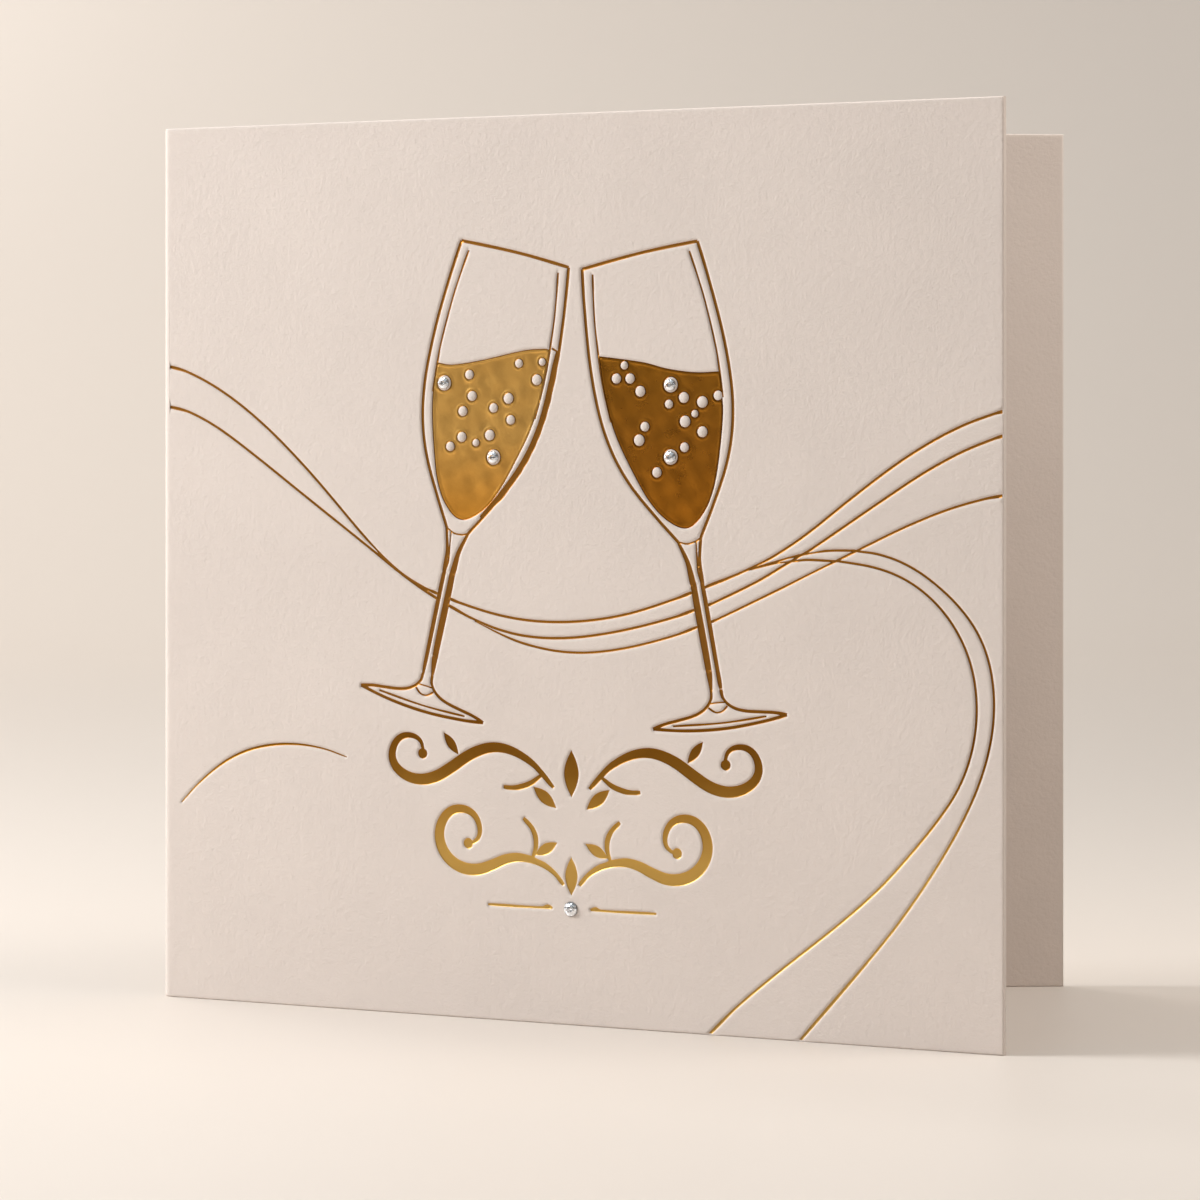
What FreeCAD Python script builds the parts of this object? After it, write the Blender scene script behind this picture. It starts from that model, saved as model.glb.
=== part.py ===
import FreeCAD, Part
import math
import os
from FreeCAD import Placement, Rotation, Vector

# Greeting card: one folded sheet standing open, with two flutes, flowing ribbon lines, a scroll ornament
# and a divider pressed into the front panel and lined with gold foil, and five flat-backed crystals.
# Row frame: +Z up, front panel parallel to X and facing -Y, fold at -X, origin at the bottom centre
# of the bounding box. Artwork is drawn in the X-Z plane: X from the panel's centre line, Z from its foot.
# Millimetres and degrees.

# Card sheet
PANEL_W = 150.0
PANEL_H = 143.0
SHEET_T = 1.2
OPENING = 32.65
CREASE_R = 0.3
EDGE_BREAK = 0.15
FOLD_R = CREASE_R + SHEET_T

# Pressed artwork and foil
PRESS_DEPTH = 0.22
FOIL_T = 0.06
LINE_W = 0.5
FINE_LINE_W = 0.28
STEM_LINE_W = 0.7
STEM_BAND_W = 1.05
RIBBON_W = 0.42
BAND_W = 1.1
DIVIDER_LINE_W = 0.34

# Flute, along its own axis from the centre of its foot
GLASS_H = 73.5
STEM_H = 28.5
NECK_R = 2.0
RIM_SHARE = 0.865
RIM_BOW = 0.3
STEM_R = 0.85
STEM_TOP_RUN = 7.0
STEM_FADE = 3.0
FOOT_R = 11.6
FOOT_RISE = 5.0
FOOT_SAG = 1.1
WALL_GAP = 1.65
WALL_LINE_DROP = 1.2
WALL_LINE_FOOT = 44.0
NECK_SAG = 0.6
NECK_MIDDLE_SHARE = 0.2
WINE_FOOT_GAP = 1.8
WINE_FOOT_R = 2.3
WINE_FOOT_BEND = 1.0
WINE_SIDE_GAP = 5.0
COLLAR_R = 1.65
COLLAR_Z = 2.95
COLLAR_H = 0.6
COLLAR_SAG = 0.9
FOOT_LINE_R = 8.1
FOOT_LINE_Z = 0.1
FOOT_LINE_SAG = 0.3
BAND_TOP_DROP = 13.3
BAND_FOOT_RISE = 3.0
BAND_STEPS = 4
BAND_SWELL = 12.0
FLARE_LINE_GAP = 0.9
FLARE_LINE_RUN = 1.5
# Bowl outline: share of the bowl's height, share of its largest radius
BOWL_SHAPE = ((0.09, 0.40), (0.26, 0.775), (0.455, 0.974), (0.565, 1.0), (0.81, 0.955))
# Foot outline: share of the foot's rise, share of its radius
FOOT_SHAPE = ((0.62, 0.115), (0.40, 0.225), (0.24, 0.43), (0.14, 0.74))

# Each flute: name, foot centre, tilt to the right, bowl radius, the side that faces the other flute,
# how much less the foot tilts, whether a heavy band lies along the bowl, wine surface as points from
# the foot centre, then bubbles and crystals as x, z, radius
GLASSES = (
    {
        "name": "left",
        "foot": (-25.5, 49.6),
        "tilt": 13.4,
        "bowl_r": 11.5,
        "inner_side": 1,
        "foot_turn": 0.0,
        "band": True,
        "surface": ((0.0, 54.9), (7.0, 54.2), (13.5, 55.3), (20.0, 56.4), (26.0, 56.0)),
        "bubbles": (
            (8.8, 52.5, 0.75), (9.3, 49.1, 0.8), (7.6, 46.7, 0.8), (15.9, 48.7, 0.85), (13.2, 47.2, 0.75),
            (16.3, 45.3, 0.75), (7.4, 42.6, 0.8), (5.3, 41.1, 0.75), (10.0, 41.7, 0.6), (12.5, 42.9, 0.85),
            (21.0, 51.6, 0.85), (17.8, 54.2, 0.7), (22.0, 54.4, 0.6),
        ),
        "crystals": (("upper", 4.2, 51.2), ("lower", 13.2, 39.4)),
    },
    {
        "name": "right",
        "foot": (28.0, 48.35),
        "tilt": -11.2,
        "bowl_r": 11.9,
        "inner_side": -1,
        "foot_turn": 4.0,
        "band": False,
        "surface": ((-24.0, 56.8), (-18.0, 56.5), (-10.3, 54.65), (-4.3, 53.85), (2.0, 54.4)),
        "bubbles": (
            (-16.9, 55.0, 0.65), (-18.3, 52.95, 0.8), (-15.9, 52.95, 0.8), (-14.1, 50.95, 0.85),
            (-6.5, 49.95, 0.85), (-9.1, 48.95, 0.7), (-3.3, 49.25, 0.9), (-0.6, 50.25, 0.75),
            (-4.6, 47.45, 0.6), (-6.3, 46.25, 0.9), (-3.3, 44.65, 0.85), (-13.3, 45.45, 0.75),
            (-14.3, 43.35, 0.9), (-6.4, 42.25, 0.75), (-11.2, 38.35, 0.8),
        ),
        "crystals": (("upper", -8.8, 51.95), ("lower", -8.8, 40.75)),
    },
)
BUBBLE_RISE = 0.2
BUBBLE_TOP_SHARE = 0.6

# Flat-backed crystals
CRYSTAL_R = 0.95
CRYSTAL_H = 0.6
GIRDLE_H = 0.15
CRYSTAL_SEAT = 0.25
DIVIDER_CRYSTAL_R = 1.2
CRYSTAL_FACETS = 8
TABLE_SHARE = 0.5

# Ribbon lines, as shares of the panel's width from the fold and of its height
RIBBONS = (
    (
        (-0.02, 0.734), (0.05, 0.712), (0.15, 0.643), (0.24, 0.553), (0.315, 0.486), (0.375, 0.461),
        (0.44, 0.445), (0.51, 0.442), (0.586, 0.454), (0.667, 0.482), (0.748, 0.518), (0.834, 0.580),
        (0.917, 0.637), (1.01, 0.674),
    ),
    (
        (-0.02, 0.687), (0.05, 0.667), (0.15, 0.602), (0.24, 0.539), (0.315, 0.485), (0.375, 0.451),
        (0.44, 0.428), (0.51, 0.4245), (0.586, 0.437), (0.667, 0.4615), (0.748, 0.501), (0.834, 0.5545),
        (0.917, 0.609), (1.01, 0.649),
    ),
    (
        (0.395, 0.4405), (0.44, 0.4215), (0.51, 0.4085), (0.586, 0.417), (0.667, 0.442), (0.759, 0.485),
        (0.834, 0.5215), (0.917, 0.560), (1.01, 0.5855),
    ),
    (
        (0.70, 0.4955), (0.76, 0.515), (0.83, 0.5245), (0.885, 0.514), (0.935, 0.4825), (0.974, 0.435),
        (0.9893, 0.362), (0.977, 0.293), (0.94, 0.214), (0.867, 0.108), (0.765, -0.012),
    ),
    (
        (0.72, 0.502), (0.78, 0.5135), (0.834, 0.511), (0.885, 0.498), (0.93, 0.466), (0.963, 0.41),
        (0.970, 0.345), (0.95, 0.275), (0.915, 0.225), (0.867, 0.17), (0.808, 0.1175), (0.66, -0.012),
    ),
    ((0.025, 0.2245), (0.06, 0.258), (0.10, 0.283), (0.15, 0.2955), (0.192, 0.295), (0.237, 0.284)),
)
# A ribbon that leaves another one starts inside it, a little narrower
BRANCH_SHARE = 0.9
BRANCHES = (2, 3, 4)
# It grows to its width over this share of its length
BRANCH_RUN = 0.12
# The free line's two ends taper to this share of the ribbon's width
TAPER_SHARE = 0.35

# Scroll ornament: half of it, as x from the centre line and z, mirrored to the other side
ORNAMENT_X = 1.7
ORNAMENT_Z = 20.5
SCROLL_W = 1.9
SCROLL_END_W = 0.5
TENDRIL_W = 0.9
BALL_R = 0.85
SCROLLS = (
    (
        (3.2, 16.6), (7.5, 20.6), (13.5, 22.6), (19.5, 20.6), (24.6, 17.6), (29.6, 17.4), (32.6, 20.2),
        (31.2, 23.6), (27.9, 23.6), (27.0, 21.2),
    ),
    (
        (1.4, 1.4), (5.5, 4.6), (11.0, 5.2), (16.5, 3.2), (21.6, 4.2), (23.9, 8.2), (21.8, 12.2),
        (17.6, 11.8), (16.6, 8.6), (18.6, 7.2),
    ),
)
TENDRILS = (
    ((5.2, 18.6), (8.8, 16.6), (12.2, 16.4)),
    ((7.0, 5.2), (6.4, 8.6), (8.6, 11.6)),
)
# Leaves: x, z, length, width, angle from the upright
LEAVES = (
    (0.0, 15.2, 7.4, 2.6, 0.0),
    (0.0, 5.8, 6.0, 2.2, 180.0),
    (2.7, 13.4, 5.2, 1.9, 52.0),
    (2.5, 8.0, 4.6, 1.7, 118.0),
    (20.4, 21.2, 4.4, 1.5, 38.0),
)

# Divider below the ornament
DIVIDER_Z = 18.2
DIVIDER_CLEAR = 3.4
DIVIDER_REACH = 15.0
DIVIDER_TICK = 0.9
DIVIDER_TICK_H = 0.35

# Curves of the pressed artwork are drawn in chords, and its small rounds as regular polygons
CHORD_SAG = 0.085
ROUND_SIDES = 10
LEAF_STEPS = 4

# Length by which a cutting shape runs past what it cuts, and the size below which a span is nothing
OVERRUN = 5.0
FLAT = 1e-4


def spline(points):
    """Smooth open curve through points in the X-Z plane."""
    curve = Part.BSplineCurve()
    curve.interpolate([Vector(x, 0.0, z) for x, z in points])
    return curve


def chords(points):
    """Corners along the smooth curve through points, spaced so that no chord sags more than CHORD_SAG."""
    return spline(points).toShape().discretize(Deflection=CHORD_SAG)


def flat(corners):
    """Face bounded by straight edges between corners."""
    return Part.Face(Part.makePolygon(corners + corners[:1]))


def stroke(points, width_at):
    """Face of a line drawn through points, with width_at(share of its length) across it."""
    path = spline(points)
    span = path.LastParameter - path.FirstParameter
    above, below = [], []
    for corner in chords(points):
        at = path.parameter(corner)
        along = path.tangent(at)[0]
        share = (at - path.FirstParameter) / span
        across = Vector(-along.z, 0.0, along.x) * (0.5 * width_at(share))
        above.append(corner + across)
        below.append(corner - across)
    return flat(above + below[::-1])


def even(width):
    """Width of a line that is as wide all along."""
    return lambda share: width


def swelling(width, end_width):
    """Width of a pen line: thin at both ends, full in the middle."""
    return lambda share: end_width + (width - end_width) * math.sin(math.pi * share)


def swelling_to(width, end_width):
    """Width of a band: full nearly all along, and drawn in close to both ends."""
    return lambda share: end_width + (width - end_width) * min(1.0, BAND_SWELL * share * (1.0 - share))


def tapering(start_width, end_width):
    """Width of a line that changes evenly from its start to its end."""
    return lambda share: start_width + (end_width - start_width) * share


def fading_in(width):
    """Width of a line that grows out of another one over its first stretch."""
    return lambda share: width * min(1.0, TAPER_SHARE + share / BRANCH_RUN)


def bar(start, end, width):
    """Face of a straight line from start to end."""
    start, end = Vector(start[0], 0.0, start[1]), Vector(end[0], 0.0, end[1])
    along = (end - start).normalize()
    across = Vector(-along.z, 0.0, along.x) * (0.5 * width)
    return flat([start + across, end + across, end - across, start - across])


def ring(x, z, radius, y=0.0, sides=ROUND_SIDES, twist=0.0):
    """Corners of a regular polygon facing the reader, its centre at x, z."""
    turns = [2.0 * math.pi * (index + twist) / sides for index in range(sides)]
    return [Vector(x + radius * math.cos(turn), y, z + radius * math.sin(turn)) for turn in turns]


def disc(x, z, radius):
    """Small round face in the X-Z plane."""
    return flat(ring(x, z, radius))


def leaf(x, z, length, width, angle):
    """Pointed leaf made of two arcs, its foot at x, z."""
    right = [Vector(0.5 * width * math.sin(math.pi * step / LEAF_STEPS), 0.0, length * step / LEAF_STEPS)
             for step in range(LEAF_STEPS + 1)]
    left = [Vector(-corner.x, 0.0, corner.z) for corner in right[1:-1]]
    face = flat(right + left[::-1])
    face.Placement = Placement(Vector(x, 0.0, z), Rotation(Vector(0.0, 1.0, 0.0), angle))
    return face


def joined(faces):
    """Flat shapes from faces that overlap, each clump merged into one face."""
    thick = [face.extrude(Vector(0.0, OVERRUN, 0.0)) for face in faces]
    solid = thick[0].multiFuse(thick[1:]).removeSplitter()
    return Part.makeCompound([face for face in solid.Faces if abs(face.BoundBox.YMax) < FLAT])


def panel_point(across, up):
    """Point from its shares of the panel's width and height."""
    return (across * PANEL_W - 0.5 * PANEL_W, up * PANEL_H)


def front_field():
    """The flat of the front panel, from the end of the fold's bend to the free edge."""
    left, right = FOLD_R - 0.5 * PANEL_W, 0.5 * PANEL_W
    corners = ((left, 0.0), (right, 0.0), (right, PANEL_H), (left, PANEL_H))
    return flat([Vector(x, 0.0, z) for x, z in corners])


def width_at_height(side, z):
    """Distance from the upright axis at which an outline passes a height."""
    level = Part.Line(Vector(0.0, 0.0, z), Vector(1.0, 0.0, z))
    return side.intersect(level)[0].X


def bowl_side(bowl_r, inset=0.0):
    """Half outline of a flute's bowl from neck to rim, inset towards the axis."""
    bowl_h = GLASS_H - STEM_H
    shape = [(NECK_R, STEM_H)]
    shape += [(share_r * bowl_r, STEM_H + share_h * bowl_h) for share_h, share_r in BOWL_SHAPE]
    shape.append((RIM_SHARE * bowl_r, GLASS_H))
    return [(x - inset, z) for x, z in shape]


def foot_side():
    """Half outline of a flute's foot from the stem to its tip."""
    shape = [(STEM_R, FOOT_RISE)]
    shape += [(share_r * FOOT_R, share_z * FOOT_RISE) for share_z, share_r in FOOT_SHAPE]
    shape.append((FOOT_R, 0.0))
    return shape


def neck_side():
    """Half outline of the stem's flare under the bowl."""
    top = STEM_H - STEM_TOP_RUN
    middle = (STEM_R + NECK_MIDDLE_SHARE * (NECK_R - STEM_R), top + 0.5 * STEM_TOP_RUN)
    return [(STEM_R, top), middle, (NECK_R, STEM_H)]


def on_side(points, side):
    """Points as drawn for side 1, or mirrored about the upright axis for side -1."""
    return [(side * x, z) for x, z in points]


def sagging(reach, z, sag):
    """Three points of a shallow curve across the flute's axis."""
    return [(-reach, z), (0.0, z - sag), (reach, z)]


def foot_lines(glass):
    """Line drawing of a flute's foot and of the collar where its stem ends."""
    lines = [stroke(on_side(foot_side(), side), even(LINE_W)) for side in (-1, 1)]
    lines.append(stroke(sagging(FOOT_R, 0.0, FOOT_SAG), even(LINE_W)))
    foot_line = sagging(FOOT_LINE_R, FOOT_LINE_Z, FOOT_LINE_SAG)
    lines.append(stroke(foot_line, even(FINE_LINE_W)))
    lines.append(bar((-COLLAR_R, COLLAR_Z), (COLLAR_R, COLLAR_Z), FINE_LINE_W))
    lines.append(stroke(sagging(COLLAR_R, COLLAR_Z - COLLAR_H, COLLAR_SAG), even(FINE_LINE_W)))
    for line in lines:
        line.rotate(Vector(0.0, 0.0, FOOT_RISE), Vector(0.0, 1.0, 0.0), glass["foot_turn"])
    return lines


def stem_lines(glass):
    """The stem's two sides, the inner one heavier, and their flare under the bowl."""
    inner = glass["inner_side"]
    top = STEM_H - STEM_TOP_RUN
    lines = [stroke(sagging(NECK_R, STEM_H, NECK_SAG), even(FINE_LINE_W))]
    for side, width in ((inner, STEM_BAND_W), (-inner, STEM_LINE_W)):
        inset = 0.5 * (width - STEM_LINE_W)
        flare = [(x - inset * (STEM_H - z) / STEM_TOP_RUN, z) for x, z in neck_side()]
        lines.append(stroke(on_side(flare, side), tapering(width, LINE_W)))
        middle = STEM_R - inset
        fade = [(middle, FOOT_RISE + STEM_FADE), (STEM_R, FOOT_RISE)]
        lines.append(bar((side * middle, FOOT_RISE + STEM_FADE), (side * middle, top), width))
        lines.append(stroke(on_side(fade, side), tapering(width, LINE_W)))
    flare_line = [(STEM_R, top - FLARE_LINE_RUN), (STEM_R - 0.5 * STEM_LINE_W, top + FLARE_LINE_RUN)]
    flare_line.append((NECK_R - FLARE_LINE_GAP, STEM_H - 0.5 * NECK_SAG))
    lines.append(stroke(on_side(flare_line, -inner), even(FINE_LINE_W)))
    return lines


def bowl_lines(glass):
    """Line drawing of a flute's bowl: its outline, the fine lines of its wall and the heavy band."""
    bowl_r = glass["bowl_r"]
    lines = [stroke(sagging(RIM_SHARE * bowl_r, GLASS_H, -RIM_BOW), even(LINE_W))]
    for side in (-1, 1):
        lines.append(stroke(on_side(bowl_side(bowl_r), side), even(LINE_W)))
        wall = [point for point in bowl_side(bowl_r, WALL_GAP) if point[1] > WALL_LINE_FOOT]
        wall[-1] = (wall[-1][0], GLASS_H - WALL_LINE_DROP)
        lines.append(stroke(on_side(wall, side), even(FINE_LINE_W)))
    if glass["band"]:
        inner = glass["inner_side"]
        side = spline(bowl_side(bowl_r, 0.5 * (BAND_W - LINE_W)))
        low, high = STEM_H + BAND_FOOT_RISE, GLASS_H - BAND_TOP_DROP
        heights = [low + (high - low) * step / BAND_STEPS for step in range(BAND_STEPS + 1)]
        band = [(width_at_height(side, z), z) for z in heights]
        lines.append(stroke(on_side(band, inner), swelling_to(BAND_W, LINE_W)))
        wall_x = band[-1][0] - WALL_GAP + 0.5 * BAND_W
        hook = ((inner * wall_x, high + FINE_LINE_W), (inner * band[-1][0], high))
        lines.append(bar(*hook, FINE_LINE_W))
    return lines


def glass_lines(glass):
    """Line drawing of a flute in its own frame, upright on its foot."""
    return foot_lines(glass) + stem_lines(glass) + bowl_lines(glass)


def glass_silhouette(glass):
    """Filled outline of a flute in its own frame."""
    right = chords(foot_side())[::-1] + chords(neck_side()) + chords(bowl_side(glass["bowl_r"]))[1:]
    left = [Vector(-corner.x, 0.0, corner.z) for corner in right]
    return flat(right + left[::-1])


def wine_body(glass):
    """Inside of the bowl in the flute's own frame, round at the foot and flat across the rim."""
    side = [point for point in bowl_side(glass["bowl_r"], WALL_GAP) if point[1] > STEM_H + WINE_SIDE_GAP]
    foot_z = STEM_H + WINE_FOOT_GAP
    foot = sagging(WINE_FOOT_R, foot_z + WINE_FOOT_BEND, WINE_FOOT_BEND)
    return flat(chords(on_side(side, -1)[::-1] + foot + side))


def below_surface(glass):
    """Everything in the flute that lies under the wine's wavy surface, in the panel's frame."""
    foot_x, foot_z = glass["foot"]
    points = [(foot_x + x, foot_z + z) for x, z in glass["surface"]]
    low = foot_z - OVERRUN
    return flat(chords(points) + [Vector(points[-1][0], 0.0, low), Vector(points[0][0], 0.0, low)])


def placed(face, glass):
    """A face of the flute's own frame, stood and tilted on the panel."""
    foot_x, foot_z = glass["foot"]
    copy = face.copy()
    stand = Placement(Vector(foot_x, 0.0, foot_z), Rotation(Vector(0.0, 1.0, 0.0), glass["tilt"]))
    copy.Placement = stand.multiply(copy.Placement)
    return copy


def on_glass(glass, x, z):
    """Place on the panel of a point given from the centre of a flute's foot."""
    return glass["foot"][0] + x, glass["foot"][1] + z


def bubble_discs(glass):
    return [disc(*on_glass(glass, x, z), radius) for x, z, radius in glass["bubbles"]]


def crystal_discs(glass):
    radius = CRYSTAL_R + CRYSTAL_SEAT
    return [disc(*on_glass(glass, x, z), radius) for _, x, z in glass["crystals"]]


def ribbon_lines():
    """The flowing lines across the panel, from the fold to the free edge and to the foot."""
    faces = []
    for index, shares in enumerate(RIBBONS):
        points = [panel_point(across, up) for across, up in shares]
        width = even(RIBBON_W)
        if index in BRANCHES:
            width = fading_in(BRANCH_SHARE * RIBBON_W)
        elif index == len(RIBBONS) - 1:
            width = swelling(RIBBON_W, TAPER_SHARE * RIBBON_W)
        faces.append(stroke(points, width))
    return faces


def ornament():
    """Mirrored scrolls with ball ends, tendrils and leaves about the panel's centre line."""
    faces = []
    for side in (-1, 1):
        for points in SCROLLS:
            line = on_side([(x, ORNAMENT_Z + z) for x, z in points], side)
            faces.append(stroke(line, swelling(SCROLL_W, SCROLL_END_W)))
            faces.append(disc(*line[-1], BALL_R))
        for points in TENDRILS:
            line = on_side([(x, ORNAMENT_Z + z) for x, z in points], side)
            faces.append(stroke(line, swelling(TENDRIL_W, SCROLL_END_W)))
        for x, z, length, width, angle in LEAVES:
            if x > 0.0 or side > 0:
                faces.append(leaf(side * x, ORNAMENT_Z + z, length, width, side * angle))
    moved = [face.translated(Vector(ORNAMENT_X, 0.0, 0.0)) for face in faces]
    return moved


def divider_lines():
    """Two short rules either side of the divider's crystal, with a tick at each inner end."""
    faces = []
    for side in (-1, 1):
        inner, outer = ORNAMENT_X + side * DIVIDER_CLEAR, ORNAMENT_X + side * DIVIDER_REACH
        faces.append(bar((inner, DIVIDER_Z), (outer, DIVIDER_Z), DIVIDER_LINE_W))
        middle = inner + side * DIVIDER_TICK
        tick = [(middle - DIVIDER_TICK, DIVIDER_Z), (middle, DIVIDER_Z + DIVIDER_TICK_H)]
        tick.append((middle + DIVIDER_TICK, DIVIDER_Z))
        faces.append(stroke(tick, even(DIVIDER_LINE_W)))
    return faces


def sheet_section():
    """Plan of the folded sheet: front panel, bend and back panel, as one closed outline."""
    centre = Vector(FOLD_R - 0.5 * PANEL_W, FRONT_Y + FOLD_R, 0.0)
    turn = math.radians(OPENING)
    along = Vector(math.cos(turn), math.sin(turn), 0.0)
    outward = Vector(-math.sin(turn), math.cos(turn), 0.0)
    reach = PANEL_W - FOLD_R
    front = Vector(0.0, -1.0, 0.0)
    bend = (outward + front).normalize()
    ahead = Vector(reach, 0.0, 0.0)
    outer = [centre + front * FOLD_R, centre + bend * FOLD_R, centre + outward * FOLD_R]
    inner = [centre + front * CREASE_R, centre + bend * CREASE_R, centre + outward * CREASE_R]
    front_edge = [outer[0] + ahead, inner[0] + ahead]
    back_edge = [outer[2] + along * reach, inner[2] + along * reach]
    curves = [
        Part.LineSegment(front_edge[0], outer[0]),
        Part.Arc(*outer),
        Part.LineSegment(outer[2], back_edge[0]),
        Part.LineSegment(back_edge[0], back_edge[1]),
        Part.LineSegment(back_edge[1], inner[2]),
        Part.Arc(inner[2], inner[1], inner[0]),
        Part.LineSegment(inner[0], front_edge[1]),
        Part.LineSegment(front_edge[1], front_edge[0]),
    ]
    return Part.Face(Part.Wire([curve.toShape() for curve in curves]))


def sheet_depth():
    """From the front panel's face to the back panel's free corner."""
    turn = math.radians(OPENING)
    return FOLD_R + FOLD_R * math.cos(turn) + (PANEL_W - FOLD_R) * math.sin(turn)


# The box is centred front to back, and the crystals stand proud of the front face
FRONT_Y = CRYSTAL_H - 0.5 * (sheet_depth() + CRYSTAL_H)


def blank_sheet():
    """The folded sheet before pressing, with its cut edges slightly broken."""
    solid = sheet_section().extrude(Vector(0.0, 0.0, PANEL_H))
    rims = [edge for edge in solid.Edges if edge.BoundBox.ZLength < FLAT]
    return solid.makeChamfer(EDGE_BREAK, rims)


def pressing(face):
    """Tool that presses a flat shape into the front panel."""
    tool = face.extrude(Vector(0.0, PRESS_DEPTH + SHEET_T, 0.0))
    return tool.translated(Vector(0.0, FRONT_Y - SHEET_T, 0.0))


def film(face):
    """Foil on the floor of a pressed shape."""
    return face.extrude(Vector(0.0, FOIL_T, 0.0)).translated(Vector(0.0, FRONT_Y + PRESS_DEPTH - FOIL_T, 0.0))


def bubble_top(x, z, radius):
    """Raised top of a round of bare card that is left standing in a pressed field."""
    back = ring(x, z, radius, FRONT_Y)
    top = ring(x, z, BUBBLE_TOP_SHARE * radius, FRONT_Y - BUBBLE_RISE)
    faces = [flat(back), flat(top)]
    for index in range(ROUND_SIDES):
        after = (index + 1) % ROUND_SIDES
        faces.append(flat([back[index], back[after], top[after], top[index]]))
    return Part.Solid(Part.Shell(faces))


def crystal(x, z, radius):
    """Cut stone with a flat back, a low girdle, a ring of facets and a flat table."""
    back = ring(x, z, radius, FRONT_Y, CRYSTAL_FACETS)
    girdle = ring(x, z, radius, FRONT_Y - GIRDLE_H, CRYSTAL_FACETS)
    table = ring(x, z, TABLE_SHARE * radius, FRONT_Y - CRYSTAL_H, CRYSTAL_FACETS, 0.5)
    faces = [flat(back), flat(table)]
    for index in range(CRYSTAL_FACETS):
        after = (index + 1) % CRYSTAL_FACETS
        faces.append(flat([back[index], back[after], girdle[after], girdle[index]]))
        faces.append(flat([girdle[index], girdle[after], table[index]]))
        faces.append(flat([table[index], girdle[after], table[after]]))
    return Part.Solid(Part.Shell(faces))


def main():
    os.makedirs("parts", exist_ok=True)
    field = front_field()
    pressed = {}
    silhouettes = []
    for glass in GLASSES:
        name = glass["name"]
        wine = placed(wine_body(glass), glass).common(below_surface(glass))
        lines = joined([placed(line, glass) for line in glass_lines(glass)]).cut(wine)
        stones = crystal_discs(glass)
        pressed["foil_" + name + "_glass"] = lines.cut(stones).common(field)
        pressed["foil_" + name + "_wine"] = wine.cut(bubble_discs(glass) + stones).common(field)
        silhouettes += [placed(glass_silhouette(glass), glass), lines]
    pressed["foil_ribbons"] = joined(ribbon_lines()).cut(silhouettes).common(field)
    pressed["foil_flourish"] = joined(ornament()).common(field)
    pressed["foil_divider"] = joined(divider_lines()).common(field)

    sheet = blank_sheet().cut([pressing(face) for face in pressed.values()])
    tops = []
    for glass in GLASSES:
        tops += [bubble_top(*on_glass(glass, x, z), radius) for x, z, radius in glass["bubbles"]]
    sheet = sheet.multiFuse(tops).removeSplitter()
    sheet.exportStep("parts/card_sheet.step")
    print("card_sheet", sheet.isValid(), len(sheet.Solids), round(sheet.Volume, 2), sheet.BoundBox)

    for name, face in pressed.items():
        foil = film(face)
        foil.exportStep("parts/" + name + ".step")
        print(name, foil.isValid(), len(foil.Solids), round(foil.Volume, 3))

    stones = {"crystal_divider": (ORNAMENT_X, DIVIDER_Z, DIVIDER_CRYSTAL_R)}
    for glass in GLASSES:
        for level, x, z in glass["crystals"]:
            stones["crystal_" + glass["name"] + "_" + level] = (*on_glass(glass, x, z), CRYSTAL_R)
    for name, (x, z, radius) in stones.items():
        stone = crystal(x, z, radius)
        stone.exportStep("parts/" + name + ".step")
        print(name, stone.isValid(), round(stone.Volume, 3))


main()
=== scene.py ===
# %% [markdown]
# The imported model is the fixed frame: every piece made here stands where the frame's node stands.
# The card is one sheet of heavy paper, folded once, with gold foil pressed into its front. The plan is
# to read the foil's outlines from the frame and to make the paper's soft relief round them.
# %% Load the frame
import math

import bpy
import numpy as np
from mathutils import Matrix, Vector
from mathutils.geometry import delaunay_2d_cdt


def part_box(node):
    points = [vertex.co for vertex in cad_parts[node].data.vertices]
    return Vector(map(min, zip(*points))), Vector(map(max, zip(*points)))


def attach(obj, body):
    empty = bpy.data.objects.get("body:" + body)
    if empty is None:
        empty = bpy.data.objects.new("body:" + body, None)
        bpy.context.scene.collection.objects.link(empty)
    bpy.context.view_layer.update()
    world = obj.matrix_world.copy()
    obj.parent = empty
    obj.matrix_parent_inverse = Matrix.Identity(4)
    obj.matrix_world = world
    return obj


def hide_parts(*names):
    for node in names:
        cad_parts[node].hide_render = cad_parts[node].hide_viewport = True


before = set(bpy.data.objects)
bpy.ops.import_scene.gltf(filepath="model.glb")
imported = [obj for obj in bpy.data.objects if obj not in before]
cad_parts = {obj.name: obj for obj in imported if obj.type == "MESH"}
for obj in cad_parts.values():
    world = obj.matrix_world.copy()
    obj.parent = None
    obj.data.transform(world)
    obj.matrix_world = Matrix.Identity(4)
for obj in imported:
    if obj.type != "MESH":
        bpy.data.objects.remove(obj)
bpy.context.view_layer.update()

MM = 0.001
print("frame holds", len(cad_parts), "nodes")

# %% [markdown]
# The real card's sizes come from the frame's boxes, in millimetres, since the relief is worked out in
# fractions of one. A stone's flat back lies on the front face, so it gives that face's depth; the foil
# lies on the floor of the pressing, so it gives the pressing's depth.
# %% Sizes of the card, in millimetres
def box_mm(node):
    """A node's lowest and highest corner in millimetres."""
    low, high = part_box(node)
    return np.array(low) / MM, np.array(high) / MM


card_low, card_high = box_mm("card_sheet")
PANEL_W = card_high[0] - card_low[0]
PANEL_H = card_high[2]
FRONT_Y = box_mm("crystal_divider")[1][1]
PRESS = box_mm("foil_ribbons")[1][1] - FRONT_Y
BUBBLE_RISE = FRONT_Y - card_low[1]
SHEET_T = 1.2
CREASE_R = 0.3
OPENING = math.radians(32.65)
FOLD_R = SHEET_T + CREASE_R
print(f"panel {PANEL_W:.1f} x {PANEL_H:.1f}, front face at y {FRONT_Y:.2f}, pressed {PRESS:.2f} deep")

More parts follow.
